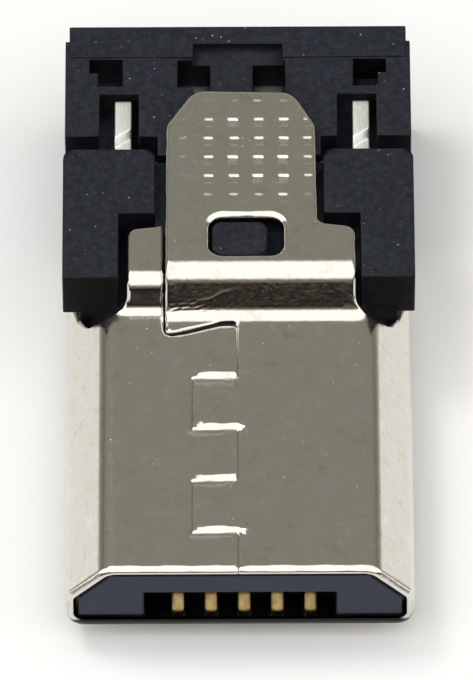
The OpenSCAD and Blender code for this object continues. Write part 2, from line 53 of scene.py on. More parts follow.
# Square-wave seam in the narrow face. Its last stretch is wavy, with a gap so many times wider; the
# wave's corners are x, share of the sway, and radius.
SEAM_FIRST, SEAM_PITCH, TOOTH, SEAM_X, SEAM_GAP = 0.92, 1.28, 0.90, -0.03, 0.002
RIM_CORNER_R, TOOTH_R = 0.02, 0.05
LAST_SEAM, SEAM_SWAY, WAVY_GAP = 5.855, 0.265, 34
WAVE = ((0.0, 1.0, 0.10), (-0.34, 0.94, 0.5), (-1.06, 0.13, 0.5))

# Strap that climbs from the narrow face, the lower strip beside it, and the shield tab behind it.
STEP_START, STEP_RISE, STEP_SLOPE, FOOT_R, HEAD_R = 6.14, 0.80, np.radians(56), 0.34, 0.54
STRIP_LAG, STRIP_DROP, STRIP_SLOPE = 0.15, 0.15, np.radians(70)
STRIP_FOOT_R, STRIP_HEAD_R, STRIP_REACH, STRIP_CORNER_R = 0.26, 0.43, 0.06, 0.05
ROOT_SET, ROOT_FLARE, FLARE_W, LOBE_X = 0.22, 0.22, 0.34, 2.98
ROOT_R, ROOT_REAR_R = 0.16, 0.30
STRAP_MID, STRAP_W, TAB_W, TAB_TAPER = 0.05, 4.52, 3.02, 0.03
STRAP_L, STRAP_R = STRAP_MID - STRAP_W / 2, STRAP_MID + STRAP_W / 2
TAB_L, TAB_R = STRAP_MID - TAB_W / 2, STRAP_MID + TAB_W / 2
SHOULDER, SHOULDER_SLANT, TAB_END = 8.09, 0.10, 11.50
SLIT, SLIT_STRAP_R, SLIT_STRIP_R = 0.04, 0.14, 0.16
CORNER_W, CORNER_L, TAB_FILLET, END_FILLET, END_SLANT = 0.58, 0.88, 0.22, 0.40, 0.05

# Window and field of pits punched in the tab, with a pit's dip from front to back, its fade across,
# both in half sizes of a pit, and how hard each column and row is struck.
PUNCH_X, WINDOW_W, WINDOW_Y, WINDOW_L, WINDOW_R = 0.15, 1.52, 7.26, 1.00, 0.30
PITS, PIT_STEP_X, PIT_STEP_Y, PIT_SET = 6, 0.50, 0.485, 0.33
PIT_W, PIT_L, PIT_DEPTH = 0.25, 0.22, 0.021
PIT_DIP_AT, PIT_DIP = (-1.15, -0.8, 0.45, 1.1), (0, 0.36, 1, 0)
PIT_EDGE, PIT_FADE, PIT_SHIFT = 1.15, 0.75, 0.3
COLUMN_STRIKE = np.array([0.34, 0.80, 1.0, 1.0, 1.1, 0.55])
ROW_STRIKE = np.array([0.55, 1.0, 1.0, 0.95, 0.9, 0.42])

# Crumpled patch at the foot of the strap's slope and the crease that slants up from it.
CRUMPLE_X, CRUMPLE_V, CRUMPLE_W, CRUMPLE_L, RIPPLE_DEPTH = -1.02, 6.45, 0.36, 0.11, 0.0032
CREASE_X, CREASE_W, CREASE_L, CREASE_DEPTH = -0.52, 0.34, 0.035, 0.0035
CREASE_PIVOT, CREASE_RISE, CREASE_SLANT, CREASE_SWAY = -0.55, 0.22, 0.38, 0.02

# Kinds of rolled cut edge: butted, facing the front across the seam, facing the back, both sides
# of the wavy last seam, front rim, plain edges and window; with their widths, the slopes at their
# ends and how many points each draws in at its ends.
BUTT, BAR, LEE, CROSS, TONGUE, RIM, EDGE, WINDOW = range(8)
ROLL_W = np.array([0.05, 0.17, 0.30, 0.10, 0.10, 0.12, 0.08, 0.10])
ROLL_LEAN = np.tan(np.radians([40, 50, 16, 62, 12, 42, 48, 48]))
ROLL_DRAW = np.array([1, 2, 4, 3, 2, 1, 1, 1])
ROLL_SMOOTH, BURR_R = 3, 0.03

# Points of the sheet: spacing along the cut edges, on the bend lines, in the field and its fine
# patches; points on a corner and lines on a bend; rings beside an edge as shares of its roll, and
# how many such shares each sort of point stays clear of the edges.
EDGE_STEP, LINE_START, LINE_STEP, FIELD_STEP = 0.05, 0.15, 0.35, 0.17
CRUMPLE_STEP, CRUMPLE_FIELD_X, CRUMPLE_FIELD_V = 0.025, np.array([0.15, -1.45]), (6.20, 6.95)
FLARE_STEP = 0.05
CORNER_POINTS, BEND_LINES, STEP_LINES, STRIP_POINTS = 7, 9, 11, 7
PIT_COLUMNS, PIT_ROWS, PIT_REACH = 9, 13, 1.2
RINGS = np.array([0.12, 0.26, 0.42, 0.60, 0.80, 1.0, 1.2])
RING_CLEAR, PIT_CLEAR, BEND_CLEAR, FIELD_CLEAR = 0.93, 0.1, 1.02, 1.3

# Points nearer than this are one point, and points are measured in blocks of about these sizes.
SAME_POINT, SAME_CAP_POINT = 1e-6, 1e-7
EDGE_BLOCK, RAY_BLOCK, SECTION_SAMPLES = 500, 2000, 4000

# Latches: side outline of hook, arm, upright and kinked tail, and the slots for the hooks.
LATCH_NAMES, LATCH_X, LATCH_T = ("latch_left", "latch_right"), (-2.305, 2.465), 0.34
LATCH_SIDE = (
    (1.64, -0.40), (1.86, -0.40), (1.97, 0.34), (9.13, 0.34), (9.47, 0.62), (9.47, 1.91),
    (11.52, 1.91), (11.52, 2.25), (10.67, 2.25), (10.51, 2.11), (8.85, 2.11), (8.85, 0.90),
    (8.57, 0.62), (1.02, 0.62), (1.02, 0.34),
)
LATCH_R, LATCH_RIM, LATCH_RIM_POINTS, LATCH_STEP = 0.07, 0.035, 5, 0.12
KINK_Y, KINK_L, KINK_LOW, KINK_SKEW = 10.59, 0.25, 2.0, 0.8
HOOK_SLOT_HALF, HOOK_SLOT_Y0, HOOK_SLOT_Y1, HOOK_SLOT_R = 0.31, 0.88, 2.25, 0.06

# Contacts: side path from the blunt tip over the crest, then on to a short end or up to a solder
# tail, whose straight run holds the jog to its own x.
CONTACT_MID, CONTACT_PITCH = 0.08, 0.65
CONTACT_TAILS = (-2.175, -0.885, 0.625, None, 2.175)
CONTACT_FRONT = [(0.14, 0.25), (0.42, 0.50), (1.35, 0.63), (4.98, 0.405)]
SHORT_END = [(8.71, 0.405)]
TAIL_WAY = [(9.15, 0.405), (9.15, 1.435), (12.79, 1.435)]
TAIL_RUN, TAIL_JOG = (9.37, 12.79), (9.90, 10.50)
TIP_R, CREST_R, CONTACT_R = 0.20, 0.34, 0.22
CONTACT_HALF_W, CONTACT_HALF_T, TAIL_EXTRA = 0.125, 0.065, 0.205
TIP_ROUND, TIP_SHARE, CONTACT_SQUARE, CONTACT_SIDES = 0.10, 0.35, 0.9, 24
RUN_POINTS, ARC_POINTS, TIP_POINTS = 5, 9, 9

# Angles over which a moulding's edge is rounded and a surface shades as sharp.
ROUNDED_OVER, MOULDED_SHARP, CUT_SHARP = np.radians([35, 40, 50])

# Where finishes change, in the imported frame: painted shade in the last seam and on the lower rim's
# lip, the mating face of the insulator painted lighter as painted light, the tinned tails, and
# painted shade on the contacts' tips along a slanting direction.
SHADE_SEAM_Y, SHADE_SEAM_Z = (5.45, 5.55), (0.892, 0.875)
SHADE_LIP_Y, SHADE_LIP_Z = (0.12, 0.08), (-0.66, -0.72)
MATING_Y, TINNED_Y = (0.75, 0.45), (9.0, 10.2)
TIP_SHADE_WAY, TIP_SHADE_REACH = (0.0, 0.743, 0.669), (-0.26, -0.315)

# Camera fitted to the photograph: pitch, yaw and roll in degrees, place, lens and sensor.
VIEW_TURN, VIEW_PLACE = (51.5457, -0.0203, -0.2659), (0.0, -132.399, 174.8)
VIEW_LENS, VIEW_SENSOR, VIEW_SHIFT = 593.8, 36.0, 0.0007

# Cards that show in reflections: name, x, y, turn in degrees, width, lowest and highest point over
# the floor, colour, and the colour that some fade to at the foot.
CARDS = (
    ("front_flag", 0.0, -30.0, 0, 110.0, 0.0, 15.5, (0.028, 0.024, 0.020), None),
    ("left_card", -46.0, 38.0, 50, 60.0, 0.0, 30.0, (0.30, 0.28, 0.24), (0.82, 0.80, 0.76)),
    ("right_card", 46.0, 38.0, -50, 60.0, 0.0, 30.0, (0.30, 0.28, 0.24), (0.82, 0.80, 0.76)),
    ("back_strip", 0.0, 60.0, 0, 50.0, 33.0, 45.0, (0.60, 0.59, 0.55), None),
)


def unit(vectors):
    """Rows of vectors made one long."""
    return vectors / np.linalg.norm(vectors, axis=1)[:, None]


def runs_of(points, radii):
    """Path of straight runs and arcs: each inner corner of the polyline is turned on its own radius.

    A run is (length so far, start point or centre, angle, radius, turning sense), and a radius of 0
    makes it straight.
    """
    points = np.asarray(points, float)
    legs = np.diff(points, axis=0)
    size = np.linalg.norm(legs, axis=1)
    way = np.arctan2(legs[:, 1], legs[:, 0])
    turn = (np.diff(way) + np.pi) % (2 * np.pi) - np.pi
    cut = np.concatenate([[0], np.asarray(radii) * np.tan(np.abs(turn) / 2), [0]])
    runs, so_far = [], 0.0
    for k in range(len(legs)):
        ahead = legs[k] / size[k]
        start = points[k] + ahead * cut[k]
        runs.append((so_far, start, way[k], 0.0, 0.0))
        so_far += size[k] - cut[k] - cut[k + 1]
        if k < len(turn):
            sense = np.sign(turn[k])
            side = np.array([-ahead[1], ahead[0]]) * sense
            centre = points[k] + ahead * (size[k] - cut[k + 1]) + side * radii[k]
            runs.append((so_far, centre, way[k], radii[k], sense))
            so_far += radii[k] * abs(turn[k])
    return runs, so_far


def along(runs, length):
    """Points and headings on such a path: straight on, or round the centre by length over radius."""
    length = np.asarray(length, float)
    point = np.zeros(length.shape + (2,))
    heading = np.zeros(length.shape)
    for start, origin, way, radius, sense in runs:
        here = length >= start
        on = length[here] - start
        if radius:
            heading[here] = way + sense * on / radius
            side = np.stack([np.sin(heading[here]), -np.cos(heading[here])], -1)
            point[here] = origin + side * sense * radius
        else:
            heading[here] = way
            point[here] = origin + on[:, None] * np.array([np.cos(way), np.sin(way)])
    return point, heading


# Half of the tube's section, from the middle of the wide face over the side and chamfer to the seam.
SECTION, _ = runs_of(
    [(0, 0), (SHELL_W / 2, 0), (SHELL_W / 2, SIDE_H), (TOP_W / 2, SHELL_H), (-SHELL_W, SHELL_H)],
    [BEND_R, BEND_R, TOP_BEND_R],
)
TOP_START = SECTION[-1][0]
SEAM_W = TOP_START + SECTION[-1][1][0]


def climb(start, rise, slope, foot_r, head_r):
    """Outer face of a step seen from the side: flat, foot bend, slope, head bend and flat.

    The second result is how much longer the way over the step is than the way straight back.
    """
    foot = start + foot_r * np.tan(slope / 2)
    head = foot + rise / np.tan(slope)
    top = SHELL_H + rise
    runs, _ = runs_of(
        [(0, SHELL_H), (foot, SHELL_H), (head, top), (2 * TAB_END, top)], [foot_r, head_r]
    )
    return runs, runs[-1][0] - runs[-1][1][0]


STRAP_CLIMB, TAB_LEAD = climb(STEP_START, STEP_RISE, STEP_SLOPE, FOOT_R, HEAD_R)
STRIP_CLIMB, STRIP_LEAD = climb(
    STEP_START + STRIP_LAG, STEP_RISE - STRIP_DROP, STRIP_SLOPE, STRIP_FOOT_R, STRIP_HEAD_R
)
ROOT_V, ROOT_REAR_V = STEP_START + ROOT_SET, STEP_START + ROOT_SET + ROOT_FLARE


def right_w(x):
    """Place on the flat pattern of a point x of the narrow face, on the flap from the right."""
    return SEAM_W - np.asarray(x, float)


def left_w(x):
    """The same on the flap that comes from the left."""
    return -(SEAM_W + np.asarray(x, float))


def smooth(t):
    """Smooth step from 0 to 1."""
    t = np.clip(t, 0, 1)
    return t * t * (3 - 2 * t)


def folded(w, v):
    """Point of the outer face for a place (w, v) on the flat pattern.

    w is measured round the section from the middle of the wide face, v along the tube. On the strap
    v runs up the step instead, and beside its root the sheet follows the step less and less.
    """
    half, _ = along(SECTION, np.abs(w))
    x, z = half[:, 0] * np.where(w < 0, -1.0, 1.0), half[:, 1]
    ahead = np.maximum(v, 0)
    strap, _ = along(STRAP_CLIMB, ahead)
    strip, _ = along(STRIP_CLIMB, ahead)
    rise = np.where((w < 0)[:, None], strip, strap)
    beside = np.abs(x - STRAP_MID) - STRAP_W / 2
    follow = np.where(z > SHELL_H / 2, smooth(1 - beside / FLARE_W), 0.0)
    y = v + follow * (rise[:, 0] - ahead)
    return np.stack([x, y, z + follow * (rise[:, 1] - SHELL_H)], -1)


def fold(w, v):
    """Folded point, outward normal and the two unit tangents, the latter by central differences."""
    tiny = 1e-4
    along_w = unit(folded(w + tiny, v) - folded(w - tiny, v))
    along_v = unit(folded(w, v + tiny) - folded(w, v - tiny))
    return folded(w, v), unit(np.cross(along_v, along_w)), along_w, along_v


def outline(corners, spacing):
    """Closed outline through rows of (w, v, corner radius, edge kind), evenly spaced along its sides.

    Each corner is an arc tangent to both sides. The edge kind, which holds from there on, gives the
    width and the depth of the rolled edge. The width wavers by two sine waves, and both pass from one
    kind to the next by taking the least of neighbours and then their mean.
    """
    c = np.asarray(corners, float)
    before, after = np.roll(c, 1, 0), np.roll(c, -1, 0)
    d0, d1 = c[:, :2] - before[:, :2], after[:, :2] - c[:, :2]
    a0, a1 = np.arctan2(d0[:, 1], d0[:, 0]), np.arctan2(d1[:, 1], d1[:, 0])
    turn = (a1 - a0 + np.pi) % (2 * np.pi) - np.pi
    sense = np.sign(turn)
    back = c[:, 2] * np.tan(np.abs(turn) / 2)
    u0 = np.stack([np.cos(a0), np.sin(a0)], -1)
    n0 = np.stack([-u0[:, 1], u0[:, 0]], -1) * sense[:, None]
    centre = c[:, :2] - u0 * back[:, None] + n0 * c[:, 2:3]
    angle = a0[:, None] + turn[:, None] * np.linspace(0, 1, CORNER_POINTS)
    spoke = np.stack([np.sin(angle), -np.cos(angle)], -1)
    arc = centre[:, None] + spoke * (sense * c[:, 2])[:, None, None]
    points, kind = arc.reshape(-1, 2), np.repeat(c[:, 3].astype(int), CORNER_POINTS)
    step = np.roll(points, -1, 0) - points
    size = np.linalg.norm(step, axis=1)
    keep = size > SAME_POINT
    points, kind, step, size = points[keep], kind[keep], step[keep], size[keep]
    count = np.ceil(size / spacing).astype(int)
    pick = np.repeat(np.arange(len(points)), count)
    part = (np.arange(count.sum()) - np.repeat(np.cumsum(count) - count, count)) / count[pick]
    points = points[pick] + part[:, None] * step[pick]
    w, v = points.T
    uneven = 1 + 0.10 * np.sin(7.3 * w + 4.1 * v) + 0.08 * np.sin(19.1 * w - 13.3 * v + 1.3)
    kind = kind[pick]
    roll = np.stack([ROLL_W[kind] * uneven, ROLL_W[kind] * ROLL_LEAN[kind] / 2], -1)
    for drawn in range(ROLL_DRAW.max()):
        beside = np.stack([np.roll(roll, 1, 0), roll, np.roll(roll, -1, 0)])
        least = beside[beside[:, :, 1].argmin(0), np.arange(len(roll))]
        roll = np.where((ROLL_DRAW[kind] > drawn)[:, None], least, roll)
    for _ in range(ROLL_SMOOTH):
        roll = (np.roll(roll, 1, 0) + roll + np.roll(roll, -1, 0)) / 3
    return points, roll


def inward(loop):
    """Unit directions into the sheet at the points of an outline that has the sheet on its left."""
    ahead, behind = np.roll(loop, -1, 0) - loop, loop - np.roll(loop, 1, 0)
    mean = unit(unit(ahead) + unit(behind))
    return np.stack([-mean[:, 1], mean[:, 0]], -1)


def anticlockwise(loop):
    """True if a closed outline runs anticlockwise: the sum of its cross products is positive."""
    w, v = loop.T
    return (w * np.roll(v, -1) - np.roll(w, -1) * v).sum() > 0


def ring(first, count):
    """Links that close a row of points with consecutive numbers."""
    k = np.arange(count)
    return np.stack([first + k, first + (k + 1) % count], -1)


def lattice(w_span, v_span, step):
    """Points of a square lattice over two spans."""
    grid = np.meshgrid(np.arange(*w_span, step), np.arange(*v_span, step))
    return np.stack(grid, -1).reshape(-1, 2)


def nearest_edge(points, edges, roll):
    """Distance of each point from the cut edges as a share of the roll's width, roll, and way off.

    Each row of roll has the width and depth at the edge's start and then at its end.
    """
    a, b = edges[:, :2], edges[:, 2:]
    leg = b - a
    size2 = (leg ** 2).sum(1)
    share, near, way = [], [], []
    for block in np.array_split(points, max(1, len(points) // EDGE_BLOCK)):
        off = block[:, None] - a
        t = np.clip((off * leg).sum(2) / size2, 0, 1)
        gap = off - t[..., None] * leg
        far = np.sqrt((gap ** 2).sum(2)) / (roll[:, 0] + t * (roll[:, 2] - roll[:, 0]))
        best = far.argmin(1)
        row = np.arange(len(block))
        share.append(far[row, best])
        near.append(roll[best, :2] + t[row, best][:, None] * (roll[best, 2:] - roll[best, :2]))
        way.append(gap[row, best])
    return np.concatenate(share), np.concatenate(near), np.concatenate(way)


def inside(points, edges):
    """True where a ray along w crosses the outlines an odd number of times."""
    (w0, v0), (w1, v1) = edges[:, :2].T, edges[:, 2:].T
    found = []
    for block in np.array_split(points, max(1, len(points) // RAY_BLOCK)):
        w, v = block[:, :1], block[:, 1:]
        spans = (v0 > v) != (v1 > v)
        at = w0 + (v - v0) / np.where(v1 == v0, 1, v1 - v0) * (w1 - w0)
        found.append((spans & (w < at)).sum(1) % 2 == 1)
    return np.concatenate(found)


def flat_pattern():
    """Outlines of the shell's sheet before it is folded: outer cut, window and two hook slots.

    The outer cut goes up the right flap's side of the seam, round the strap and tab, over the right
    chamfer to the ear, across the ears' ends and back the same way on the left.
    """
    g = SEAM_GAP / 2
    # ways round the section to the ears' height and to the corners of the rear cut, interpolated
    round_way = np.linspace(SHELL_W / 2, TOP_START, SECTION_SAMPLES)
    half, _ = along(SECTION, round_way)
    ear_w = np.interp(SIDE_H, half[:, 1], round_way)
    root_w, lobe_w, slant_w, gusset_w = np.interp(
        [-TOP_W / 2, -LOBE_X, -NOSE_X, -GUSSET_X], -half[:, 0], round_way
    )
    # middle of the seam from the rim back: x, y, corner radius, side of the gap, and the kinds of the
    # edge that follows on the right flap and on the left one
    seam = [(0, 0, RIM_CORNER_R, 0, BUTT, BUTT)]
    for out, back in (SEAM_FIRST + SEAM_PITCH * np.arange(4)).reshape(2, 2):
        seam += [
            (0, out, TOOTH_R, 1, BAR, LEE), (-TOOTH, out, TOOTH_R, 1, BUTT, BUTT),
            (-TOOTH, back, TOOTH_R, -1, LEE, BAR), (0, back, TOOTH_R, -1, BUTT, BUTT),
        ]
    seam += [
        (x, LAST_SEAM + share * SEAM_SWAY, radius, WAVY_GAP, CROSS, kind)
        for (x, share, radius), kind in zip(WAVE, (TONGUE, TONGUE, BUTT))
    ]
    x, y, radius, side, kind, left_kind = np.array(seam).T
    x = x + SEAM_X
    right = np.stack([right_w(x + g), np.maximum(y + side * g, 0), radius, kind], -1)
    left = np.stack([left_w(x - g), np.maximum(y - side * g, 0), radius, np.roll(left_kind, 1)], -1)
    left[0, 3] = RIM

    end, shoulder = TAB_END + TAB_LEAD, SHOULDER + TAB_LEAD
    corner = end - CORNER_L
    strip_end = SHOULDER + STRIP_REACH + STRIP_LEAD
    strap = [
        (right_w(TAB_L), LAST_SEAM + WAVY_GAP * g, SLIT_STRAP_R),
        (right_w(TAB_L + TAB_TAPER), corner, END_FILLET),
        (right_w(TAB_L + CORNER_W), end, END_FILLET),
        (right_w(TAB_R - CORNER_W + 2 * END_SLANT), end - END_SLANT, END_FILLET),
        (right_w(TAB_R - TAB_TAPER), corner, END_FILLET),
        (right_w(TAB_R), shoulder, TAB_FILLET),
        (right_w(STRAP_R), shoulder - SHOULDER_SLANT, TAB_FILLET),
        (right_w(STRAP_R), ROOT_REAR_V, ROOT_REAR_R),
    ]
    flank = [
        (root_w, ROOT_V, ROOT_R),
        (lobe_w, ROOT_V, ROOT_R),
        (slant_w, TUBE_END, GUSSET_R),
        (gusset_w, GUSSET_END, GUSSET_R),
        (ear_w, GUSSET_FOOT, EAR_ROOT_R),
        (ear_w, EAR_END, EAR_R),
    ]
    strip = [
        (left_w(STRAP_L), ROOT_REAR_V, ROOT_REAR_R),
        (left_w(STRAP_L), strip_end - SHOULDER_SLANT, TAB_FILLET),
        (left_w(TAB_L - SLIT), strip_end, STRIP_CORNER_R),
        (left_w(TAB_L - SLIT), LAST_SEAM - WAVY_GAP * g, SLIT_STRIP_R),
    ]
    rear = [(*row, EDGE) for row in strap + flank + [(-w, v, r) for w, v, r in flank[::-1]] + strip]
    rear[-1] = (*strip[-1], BUTT)

    def box(w0, w1, v0, v1, r, kind):
        """Four corners of a cut-out."""
        return [(w, v, r, kind) for w, v in ((w0, v0), (w1, v0), (w1, v1), (w0, v1))]

    window = box(
        right_w(PUNCH_X + WINDOW_W / 2), right_w(PUNCH_X - WINDOW_W / 2),
        WINDOW_Y + TAB_LEAD, WINDOW_Y + WINDOW_L + TAB_LEAD, WINDOW_R, WINDOW,
    )
    slots = [
        box(x - HOOK_SLOT_HALF, x + HOOK_SLOT_HALF, HOOK_SLOT_Y0, HOOK_SLOT_Y1, HOOK_SLOT_R, EDGE)
        for x in LATCH_X
    ]
    return [np.concatenate([right, rear, left[::-1]]), window] + slots


def pit_depth(x, y):
    """Depth of the punched pits at a point of the tab.

    From front to back a pit dips at a lip, slopes on down and climbs steeply; across it fades at both
    sides. Every pit is struck a little differently, by the fraction of a large multiple of a sine of
    its column and row, and the outer columns and end rows weakly.
    """
    x0 = PUNCH_X - (PITS - 1) / 2 * PIT_STEP_X
    y0 = WINDOW_Y + WINDOW_L + PIT_SET + PIT_L / 2
    i = np.clip(np.rint((x - x0) / PIT_STEP_X), 0, PITS - 1)
    j = np.clip(np.rint((y - y0) / PIT_STEP_Y), 0, PITS - 1)
    chance = np.sin(12.9898 * (i + 1) + 78.233 * (j + 1)) * 43758.5453
    chance -= np.floor(chance)
    across = (x - x0 - i * PIT_STEP_X) / (PIT_W / 2) + PIT_SHIFT * (chance - 0.5)
    ahead = (y - y0 - j * PIT_STEP_Y) / (PIT_L / 2)
    strike = (0.8 + 0.4 * chance) * COLUMN_STRIKE[i.astype(int)] * ROW_STRIKE[j.astype(int)]
    dip = np.interp(ahead, PIT_DIP_AT, PIT_DIP)
    return PIT_DEPTH * strike * dip * smooth((PIT_EDGE - np.abs(across)) / PIT_FADE)


def pit_points():
    """Points on a grid over every pit."""
    across, ahead = np.meshgrid(
        np.linspace(-PIT_REACH, PIT_REACH, PIT_COLUMNS) * PIT_W / 2,
        np.linspace(-PIT_REACH, PIT_REACH, PIT_ROWS) * PIT_L / 2,
    )
    k = np.arange(PITS)
    x = PUNCH_X + (k - (PITS - 1) / 2)[:, None, None, None] * PIT_STEP_X + across
    y = WINDOW_Y + WINDOW_L + PIT_SET + PIT_L / 2 + k[None, :, None, None] * PIT_STEP_Y + ahead
    x, y = np.broadcast_arrays(x, y)
    return np.stack([right_w(x.ravel()), y.ravel() + TAB_LEAD], -1)


def lines_of_bends():
    """Rows of points along every bend: of constant w on the tube, of constant v on the strap.

    Every second run of a path is an arc, and so a bend.
    """
    rows = []
    back = np.arange(LINE_START, EAR_END, LINE_STEP)
    for k in range(1, len(SECTION), 2):
        for w in np.linspace(SECTION[k][0], SECTION[k + 1][0], BEND_LINES):
            rows += [np.stack([np.full_like(back, side * w), back], -1) for side in (1, -1)]
    strap_x = np.arange(TAB_L, STRAP_R, LINE_STEP)
    strip_x = np.linspace(STRAP_L, TAB_L - SLIT, STRIP_POINTS)
    for runs, w in ((STRAP_CLIMB, right_w(strap_x)), (STRIP_CLIMB, left_w(strip_x))):
        for k in (1, 3):
            for v in np.linspace(runs[k][0], runs[k + 1][0], STEP_LINES):
                rows.append(np.stack([w, np.full_like(w, v)], -1))
    return rows


def crumple(x, v):
    """Depth of the crumpled patch on the strap's slope: fine ripples at its foot, a slanting crease.

    The ripples are two crossed sine waves under a bell; the crease is a bell across a line that
    slants and sways, and fades along it by another bell.
    """
    patch = np.exp(-(((x - CRUMPLE_X) / CRUMPLE_W) ** 2) - ((v - CRUMPLE_V) / CRUMPLE_L) ** 2)
    ripple = np.sin(70 * (v - 0.25 * x) + 3 * np.sin(6 * x)) + 0.7 * np.sin(31 * x - 44 * v)
    line = CREASE_SLANT * (x - CREASE_PIVOT)
    off = v - CRUMPLE_V - CREASE_RISE - line - CREASE_SWAY * np.sin(14 * x)
    crease = np.exp(-((off / CREASE_L) ** 2) - ((x - CREASE_X) / CREASE_W) ** 2)
    return RIPPLE_DEPTH * patch * ripple - CREASE_DEPTH * crease


def cut_edges():
    """All outlines of the flat pattern, each turned so that the sheet is on its left.

    Gives their points, the ways into the sheet, the edges as rows of start and end with their rolls
    in the same form, and the links from point to point.
    """
    loops = [outline(corners, EDGE_STEP) for corners in flat_pattern()]
    loops = [
        (p, a) if anticlockwise(p) == (k == 0) else (p[::-1], a[::-1])
        for k, (p, a) in enumerate(loops)
    ]
    rim = np.concatenate([p for p, _ in loops])
    way_in = np.concatenate([inward(p) for p, _ in loops])
    edges = np.concatenate([np.hstack([p, np.roll(p, -1, 0)]) for p, _ in loops])
    roll = np.concatenate([np.hstack([a, np.roll(a, -1, 0)]) for _, a in loops])
    size = [len(p) for p, _ in loops]
    links = np.concatenate([ring(k, n) for k, n in zip(np.cumsum([0] + size[:-1]), size)])
    return rim, way_in, edges, roll, links


def sheet_points(rim, way_in, edges, roll):
    """Points that fill the flat pattern, and the links along the bend lines.

    They are the outlines, rings that follow each cut edge, the pits, the bend lines, and a field with
    every other row shifted, finer over the crumple and beside both roots of the strap.
    """
    def clear(points):
        """Distance from the cut edges as a share of the roll's width."""
        return nearest_edge(points, edges, roll)[0]

    rings = (rim + RINGS[:, None, None] * (way_in * roll[:, :1])).reshape(-1, 2)
    rings = rings[clear(rings) > RING_CLEAR * np.repeat(RINGS, len(rim))]
    pits = pit_points()
    pits = pits[inside(pits, edges) & (clear(pits) > PIT_CLEAR)]
    rows = lines_of_bends()
    bends = np.concatenate(rows)
    row_of = np.repeat(np.arange(len(rows)), [len(r) for r in rows])
    kept = np.flatnonzero(inside(bends, edges) & (clear(bends) > BEND_CLEAR))
    joined = (np.diff(row_of[kept]) == 0) & (np.diff(kept) == 1)

    field = lattice(*np.stack([rim.min(0), rim.max(0)], -1), FIELD_STEP)
    field[:, 0] += FIELD_STEP / 2 * (np.rint(field[:, 1] / FIELD_STEP) % 2)
    roots = (STEP_START, ROOT_REAR_V)
    field = np.concatenate([
        field,
        lattice(right_w(CRUMPLE_FIELD_X), CRUMPLE_FIELD_V, CRUMPLE_STEP),
        lattice((right_w(STRAP_R + FLARE_W), right_w(STRAP_R)), roots, FLARE_STEP),
        lattice((left_w(STRAP_L), left_w(STRAP_L - FLARE_W)), roots, FLARE_STEP),
    ])
    field = field[inside(field, edges) & (clear(field) > FIELD_CLEAR)]
    at = len(rim) + len(rings) + len(pits) + np.flatnonzero(joined)
    return np.concatenate([rim, rings, pits, bends[kept], field]), np.stack([at, at + 1], -1)


def folded_shell():
    """The shell as one folded sheet with rolled cut edges, punched pits and a crumpled step.

    The flat pattern is filled with triangles between its points, and both faces are then folded: the
    outer face drops by a parabola towards each cut edge, by the pits and by the crumple, the inner
    one by a small round.
    """
    rim, way_in, edges, roll, ring_links = cut_edges()
    spots, bend_links = sheet_points(rim, way_in, edges, roll)
    links = np.concatenate([ring_links, bend_links])
    made = delaunay_2d_cdt(spots.tolist(), links.tolist(), [], 0, SAME_POINT)
    flat, tris = np.array(made[0]), np.array(made[2])
    source = np.array([origin[0] if origin else -1 for origin in made[3]])
    tris = tris[inside(flat[tris].mean(1), edges)]
    used, tris = np.unique(tris, return_inverse=True)
    tris = tris.reshape(-1, 3)
    flat, source = flat[used], source[used]

    share, near, way = nearest_edge(flat, edges, roll)
    width, depth = near.T
    on_rim = (source >= 0) & (source < len(rim))
    toward = way / np.maximum(np.linalg.norm(way, axis=1), 1e-9)[:, None]
    toward[on_rim] = way_in[source[on_rim]]
    share[on_rim] = 0.0
    point, normal, along_w, along_v = fold(flat[:, 0], flat[:, 1])

    # outer face: parabola of the die roll, then the pits and the crumple
    q = 1 - np.clip(share, 0, 1)
    drop = depth * q * q
    slope = -(2 * depth / width * q)[:, None] * toward
    x, v = SEAM_W - flat[:, 0], flat[:, 1]
    on_right = flat[:, 0] > TOP_START
    tiny = 1e-3
    for dent, here in (
        (lambda a, b: pit_depth(a, b - TAB_LEAD), on_right & (v > STRAP_CLIMB[-1][0])),
        (crumple, on_right & (v > STEP_START)),
    ):
        drop += np.where(here, dent(x, v), 0)
        in_w = -(dent(x + tiny, v) - dent(x - tiny, v)) / (2 * tiny)
        in_v = (dent(x, v + tiny) - dent(x, v - tiny)) / (2 * tiny)
        slope += np.where(here[:, None], np.stack([in_w, in_v], -1), 0)
    outer = point - normal * drop[:, None]
    outer_n = normal + slope[:, :1] * along_w + slope[:, 1:] * along_v

    # inner face: a small round, whose slope is held short of upright
    q = 1 - np.clip(share * width / BURR_R, 0, 1)
    lift = BURR_R * (1 - np.sqrt(np.maximum(1 - q * q, 0)))
    held = np.minimum(q, 0.998)
    slope = (-held / np.sqrt(1 - held * held))[:, None] * toward
    inner = point - normal * (SHEET - lift)[:, None]
    inner_n = -normal + slope[:, :1] * along_w + slope[:, 1:] * along_v

    # walls between the two faces along every cut edge
    n = len(flat)
    sides = np.concatenate([tris[:, [0, 1]], tris[:, [1, 2]], tris[:, [2, 0]]])
    code, back = sides[:, 0] * n + sides[:, 1], sides[:, 1] * n + sides[:, 0]
    cut = sides[~np.isin(code, back)]
    walls = np.stack([cut[:, 0], cut[:, 1], cut[:, 1] + n, cut[:, 0] + n], -1)
    normals = unit(np.concatenate([outer_n, inner_n]))
    return np.concatenate([outer, inner]), [tris[:, ::-1], tris + n, walls], normals


